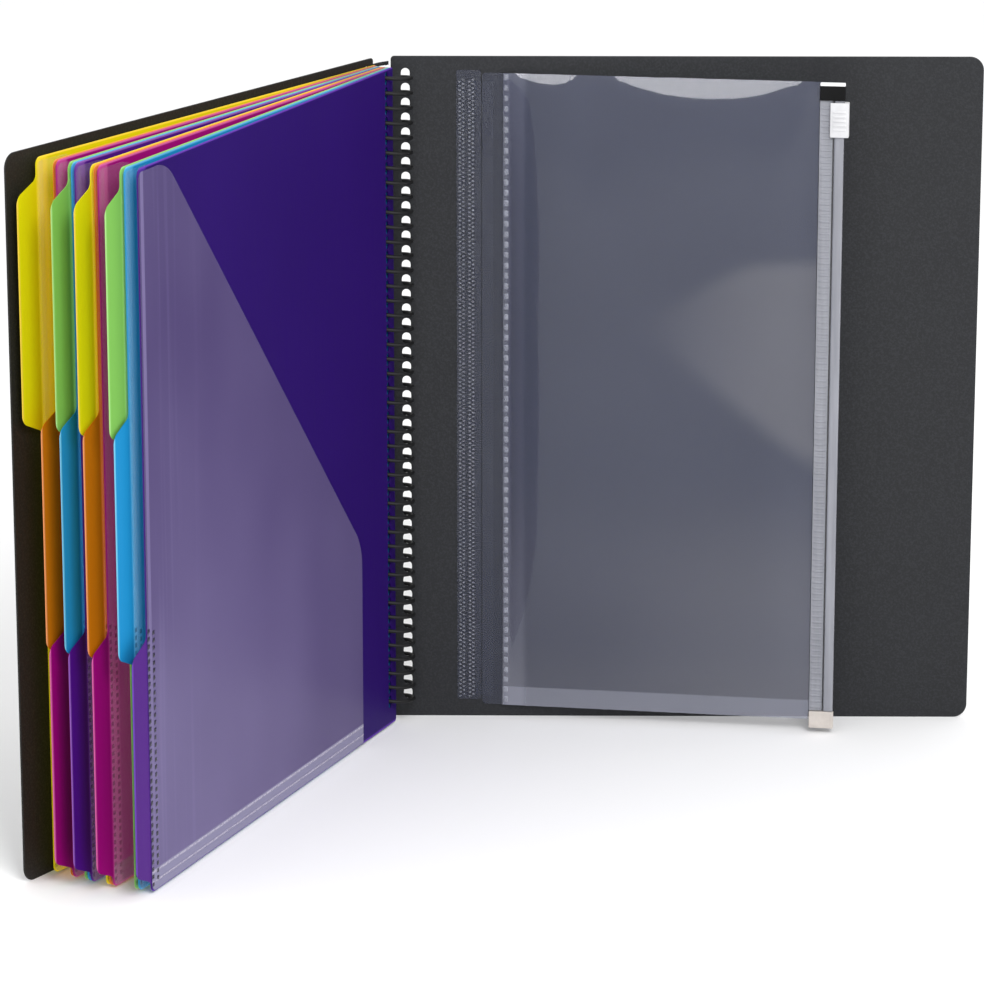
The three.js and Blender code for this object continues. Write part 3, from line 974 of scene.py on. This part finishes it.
def makeHingeFilm():
    sizes = hingeSizes
    spot = pouchSpot()
    foot, top = pouchSizes["foot"], pouchSizes["top"]
    bpy.ops.object.select_all(action="DESELECT")
    bpy.ops.mesh.primitive_grid_add(
        x_subdivisions=sizes["columns"],
        y_subdivisions=sizes["rows"],
        size=1,
        rotation=(math.pi / 2, 0, 0),
    )
    film = bpy.context.object
    film.name = "pouch_hinge_film"
    film.scale = (sizes["width"] * mm, (top - foot - 2 * sizes["margin"]) * mm, 1)
    film.location = spot + Vector((*sizes["place"], (foot + top) / 2)) * mm
    bpy.ops.object.transform_apply(location=True, rotation=True, scale=True)
    slope = math.tan(math.radians(pouchSizes["opening"]))
    for vertex in film.data.vertices:  # beyond the hinge it follows the pouch
        beyond = vertex.co.x - spot.x
        vertex.co.y -= max(0, beyond) * slope
    thicken(film, sizes["film"])
    keepFlat(film, spot.x / mm)
    wear(film, filmPaint("clear hinge film", 0.03))
    activate(film)
    bpy.ops.object.shade_smooth_by_angle(angle=math.radians(sizes["smoothAngle"]))
    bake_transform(film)
    print("hinge film made")


def makePouchFilms():
    sizes = pouchSizes
    left, right = sizes["left"], sizes["backRight"]
    back = addPanel("pouch_rear_film", left, right, sizes["foot"], sizes["top"], -sizes["backLevel"])
    startEdit(back)
    for height in (sizes["foot"], sizes["top"]):
        for side in (right, left):
            roundCorner(back, side, height, sizes["corner"])
    endEdit()
    thicken(back, sizes["film"])
    wear(back, filmPaint("clear rear film", 0.03, 0.6, joint=0.08))
    bpy.ops.object.select_all(action="DESELECT")
    seam, far = sizes["seamStart"], sizes["right"]
    bpy.ops.mesh.primitive_grid_add(
        x_subdivisions=sizes["columns"],
        y_subdivisions=sizes["rows"],
        size=1,
        location=Vector(((seam + far) / 2, 0, (sizes["foot"] + sizes["top"]) / 2)) * mm,
        rotation=(math.pi / 2, 0, 0),
    )
    front = bpy.context.object
    front.name = "pouch_face_film"
    front.scale = ((far - seam) * mm, (sizes["top"] - sizes["foot"]) * mm, 1)
    bpy.ops.object.transform_apply(location=True, rotation=True, scale=True)
    for vertex in front.data.vertices:
        vertex.co.y = -pouchLevel(vertex.co.x / mm, vertex.co.z / mm) * mm
    thicken(front, sizes["film"])
    wear(front, filmPaint("clear face film", 0.29, 1.0, 0.25, 1.0), filmPaint("clear inner film", 0.03))
    for face in front.data.polygons:  # the outer side takes the gloss
        face.material_index = int(face.normal.y > 0)
    level = -(sizes["nearLevel"] + sizes["film"] / 2)
    start = sizes["foot"] + sizes["pearlStart"]
    pearl = makeDot("pouch_pearls", sizes["pearlPlace"], level, sizes["pearlSize"], start)
    easeEdges(pearl, sizes["pearlEase"])
    repeat(pearl, sizes["pearls"], (0, 0, sizes["pearlPitch"]))
    wear(pearl, weldPaint("milky pearl weld", tint(146, 150, 162), tint(188, 191, 202), 0.38))
    joinTo(front, pearl)
    for film, node in ((back, "pouch_back_film"), (front, "pouch_front_film")):
        keepFlat(film)
        turnTo(film, sizes["opening"], pouchSpot())
        settle(film, "pouch", node, smooth=50)
    print("pouch films made")


zipSizes = {
    "left": 146.3,
    "right": 156.7,
    "foot": 10.3,
    "top": 283.0,
    "rear": (0.55, 1.15),
    "front": (1.2, 1.8),
    "beadTop": 2.5,
    "beadWidth": 4.2,
    "groove": 0.6,
    "ribPitch": 2.6,
    "ribSize": (4.6, 0.26, 1.3),
    "stopRight": 157.0,
    "stopLevels": (0.55, 3.05),
    "topStop": (283.3, 290.8),
    "footStop": (2.5, 10),
    "sliderLeft": 150.75,
    "sliderRight": 158.75,
    "sliderCheek": 156.85,
    "sliderLip": 152.5,
    "sliderLevels": (-0.6, 0.4, 2.65, 3.65),
    "sliderFoot": 267.4,
    "sliderTop": 282.4,
    "tongue": (1.0, 0.4),  # width and height
    "trackEase": 0.08,
    "grooveDepth": 0.3,
    "channel": (1.45, 0.55),  # wall and depth
    "beadRound": 0.8,
    "longEdge": 100,  # longer edges than this run along the zip
    "ribStart": 1,
    "ribSink": 0.05,
    "ribTaper": (0.92, 1, 0.35),
    "stopLip": 1.2,
    "stopPanel": (0.9, 0.25),  # margin and depth
    "stopEase": 0.3,
    "sliderEase": 0.38,
    "gripMargin": 1.2,
    "gripLevels": (0.1, 0.35),  # below and above the slider's face
    "gripStart": 3,
    "gripHeight": 1,
    "gripEase": 0.16,
    "grips": 5,
    "gripPitch": 1.9,
}


def trackPaint(name, veil):
    paint = Paint(name)
    cloud = paint.noise(paint.stretch(paint.spot(), (300, 300, 22)), 1, 3)
    bead = zipSizes["right"] - zipSizes["beadWidth"]
    # the groove between the bands is painted dark: a painted shade in it
    seam = paint.band(paint.part(paint.flat(), "X"), bead - zipSizes["groove"], bead, 0.15)
    milk = paint.mix(cloud, tint(130, 132, 141), tint(168, 170, 178))
    return paint.finish(
        Base_Color=paint.mix(seam, milk, tint(44, 45, 50)),
        Roughness=0.18 + cloud * 0.12,
        Alpha=veil + cloud * 0.15,
        Coat_Weight=0.6,
    )


def mouldedPaint(name, dark, light, gloss, shine=0.5):
    paint = Paint(name)
    cloud = paint.noise(paint.spot(), 260, 3, 0.6)
    return paint.finish(
        Base_Color=paint.mix(cloud, dark, light),
        Roughness=gloss + cloud * 0.12,
        Specular_IOR_Level=shine,
        Normal=paint.bump(cloud, 0.12, 0.05),
    )


def onPouch(piece, body, node, smooth=35):
    keepFlat(piece)
    turnTo(piece, pouchSizes["opening"], pouchSpot())
    settle(piece, body, node, smooth)


def makeTracks():
    sizes = zipSizes
    low, high = sizes["rear"]
    rear = addBlock("zip_rear_track", sizes["left"], sizes["right"], -high, -low, sizes["foot"], sizes["top"])
    tongue = sizes["right"] - sizes["beadWidth"] / 2
    width, rise = sizes["tongue"]
    startEdit(rear)
    cutAt((tongue - width / 2, 0, 0), (1, 0, 0))
    cutAt((tongue + width / 2, 0, 0), (1, 0, 0))
    pick(rear, "faces", lambda at, item: item.normal.y < -0.9 and abs(at.x - tongue) < closeBy)
    extrude(0, -rise, 0)
    endEdit()
    easeEdges(rear, sizes["trackEase"])
    wear(rear, trackPaint("milky rear track", 0.55))

    low, high = sizes["front"]
    bead = sizes["right"] - sizes["beadWidth"]
    groove = bead - sizes["groove"]
    front = addBlock("zip_front_track", sizes["left"], sizes["right"], -high, -low, sizes["foot"], sizes["top"])
    startEdit(front)
    for place in (groove, bead):
        cutAt((place, 0, 0), (1, 0, 0))
    pick(front, "faces", lambda at, item: item.normal.y < -0.9 and at.x > bead)
    extrude(0, high - sizes["beadTop"], 0)
    pick(front, "faces", lambda at, item: item.normal.y < -0.9 and groove < at.x < bead)
    move(0, sizes["grooveDepth"], 0)
    wall, depth = sizes["channel"]
    pick(front, "faces", lambda at, item: item.normal.y > 0.9 and at.x > bead)
    bpy.ops.mesh.inset(thickness=wall * mm, depth=0)
    move(0, -depth, 0)
    pick(
        front,
        "edges",
        lambda at, item: at.y < closeBy - sizes["beadTop"] and item.calc_length() > sizes["longEdge"] * mm,
    )
    bpy.ops.mesh.bevel(offset=sizes["beadRound"] * mm, segments=4, affect="EDGES")
    endEdit()
    width, depth, tall = sizes["ribSize"]
    middle = (sizes["left"] + groove) / 2
    start = sizes["foot"] + sizes["ribStart"]
    rib = addBlock(
        "zip_ribs",
        middle - width / 2,
        middle + width / 2,
        -high - depth,
        -high + sizes["ribSink"],
        start,
        start + tall,
    )
    startEdit(rib)
    pick(rib, "faces", lambda at, item: item.normal.y < -0.9)
    bpy.ops.transform.resize(value=sizes["ribTaper"])
    endEdit()
    count = int((sizes["top"] - sizes["foot"] - 2 * sizes["ribStart"]) / sizes["ribPitch"])
    repeat(rib, count, (0, 0, sizes["ribPitch"]))
    joinTo(front, rib)
    wear(front, trackPaint("milky ribbed track", 0.6))
    onPouch(rear, "pouch", "zip_track_rear")
    onPouch(front, "pouch", "zip_track_front")
    print("zip tracks made")


def makeStop(name, span, lip):
    sizes = zipSizes
    low, high = sizes["stopLevels"]
    foot, top = span
    stop = addBlock(name, sizes["left"], sizes["stopRight"], -high, -low, foot, top)
    startEdit(stop)
    margin, depth = sizes["stopPanel"]
    cutAt((0, 0, lip), (0, 0, 1))
    pick(stop, "faces", lambda at, item: item.normal.y < -0.9 and abs(at.z - lip) > sizes["stopLip"])
    bpy.ops.mesh.inset(thickness=margin * mm, depth=-depth * mm)
    endEdit()
    easeEdges(stop, sizes["stopEase"], 3)
    return stop


def makeStops():
    sizes = zipSizes
    topLip = sizes["topStop"][1] - sizes["stopLip"]
    topStop = makeStop("zip_upper_stop", sizes["topStop"], topLip)
    black = mouldedPaint("black glossy crimp", tint(2, 2, 3), tint(7, 7, 8), 0.3, 0.15)
    pale = mouldedPaint("white track end", tint(226, 226, 228), tint(244, 244, 246), 0.3)
    wear(topStop, black, pale)
    # the faces above the lip are painted white: a painted highlight along the black stop's top
    for face in topStop.data.polygons:
        face.material_index = int(face.center.z > topLip * mm)
    footStop = makeStop("zip_lower_stop", sizes["footStop"], sizes["footStop"][0] + sizes["stopLip"])
    wear(footStop, mouldedPaint("bone moulded stop", tint(178, 170, 164), tint(202, 195, 188), 0.36))
    onPouch(topStop, "pouch", "zip_top_stop")
    onPouch(footStop, "pouch", "zip_foot_stop")
    print("zip stops made")


def makeSlider():
    sizes = zipSizes
    under, lip, roof, top = sizes["sliderLevels"]
    foot, high = sizes["sliderFoot"], sizes["sliderTop"]
    cheek = sizes["sliderCheek"]
    slider = addBlock("zip_runner", cheek, sizes["sliderRight"], -top, -under, foot, high)
    startEdit(slider)
    cutAt((0, -lip, 0), (0, 1, 0))
    cutAt((0, -roof, 0), (0, 1, 0))
    pick(slider, "faces", lambda at, item: item.normal.x < -0.9 and at.y < -roof)
    extrude(sizes["sliderLeft"] - cheek, 0, 0)
    pick(slider, "faces", lambda at, item: item.normal.x < -0.9 and at.x > cheek - closeBy and at.y > -lip)
    extrude(sizes["sliderLip"] - cheek, 0, 0)
    endEdit()
    easeEdges(slider, sizes["sliderEase"], 3)
    sink, rise = sizes["gripLevels"]
    start = foot + sizes["gripStart"]
    grip = addBlock(
        "zip_runner_grip",
        sizes["sliderLeft"] + sizes["gripMargin"],
        sizes["sliderRight"] - sizes["gripMargin"],
        -top - rise,
        -top + sink,
        start,
        start + sizes["gripHeight"],
    )
    easeEdges(grip, sizes["gripEase"])
    repeat(grip, sizes["grips"], (0, 0, sizes["gripPitch"]))
    joinTo(slider, grip)
    wear(slider, mouldedPaint("white moulded runner", tint(192, 192, 194), tint(212, 212, 214), 0.32))
    onPouch(slider, "zip_slider", "zip_slider")
    print("zip slider made")


stageSizes = {
    "floor": 16,
    "floorTone": (tint(246, 246, 247), tint(252, 252, 252)),
    "sky": 1.0,
    "softbox": {"place": (0.6, -1.81, 1.63), "size": (0.9, 0.9), "power": 36},
    "striplight": {"place": (-0.376, -1.79, 1.69), "size": (1.25, 0.28), "power": 18},
    "aim": (0.02, 0.05, 0.2),
}


def makeStage():
    sizes = stageSizes
    bpy.ops.object.select_all(action="DESELECT")
    bpy.ops.mesh.primitive_plane_add(size=sizes["floor"], location=(0, 0, 0))
    floor = bpy.context.object
    floor.name = "pale_floor"
    paint = Paint("pale floor")
    cloud = paint.noise(paint.spot(), 1.5, 2)
    wear(floor, paint.finish(Base_Color=paint.mix(cloud, *sizes["floorTone"]), Roughness=0.9))
    world = bpy.data.worlds.new("soft white studio")
    world.use_nodes = True
    world.node_tree.nodes["Background"].inputs["Color"].default_value = (1, 1, 1, 1)
    world.node_tree.nodes["Background"].inputs["Strength"].default_value = sizes["sky"]
    bpy.context.scene.world = world
    bpy.context.scene.view_settings.view_transform = "Standard"
    for name in ("softbox", "striplight"):
        bpy.ops.object.light_add(type="AREA", location=sizes[name]["place"])
        lamp = bpy.context.object
        lamp.name = name
        lamp.data.shape = "RECTANGLE"
        lamp.data.size, lamp.data.size_y = sizes[name]["size"]
        lamp.data.energy = sizes[name]["power"]
        lamp.rotation_euler = (Vector(sizes["aim"]) - lamp.location).to_track_quat("-Z", "Y").to_euler()
    lamp.visible_diffuse = False  # the strip only draws the gloss
    print("stage set")


makeCoil()
makeCovers()
makeLeaves()
makeStrip()
makeHingeFilm()
makePouchFilms()
makeTracks()
makeStops()
makeSlider()
makeStage()
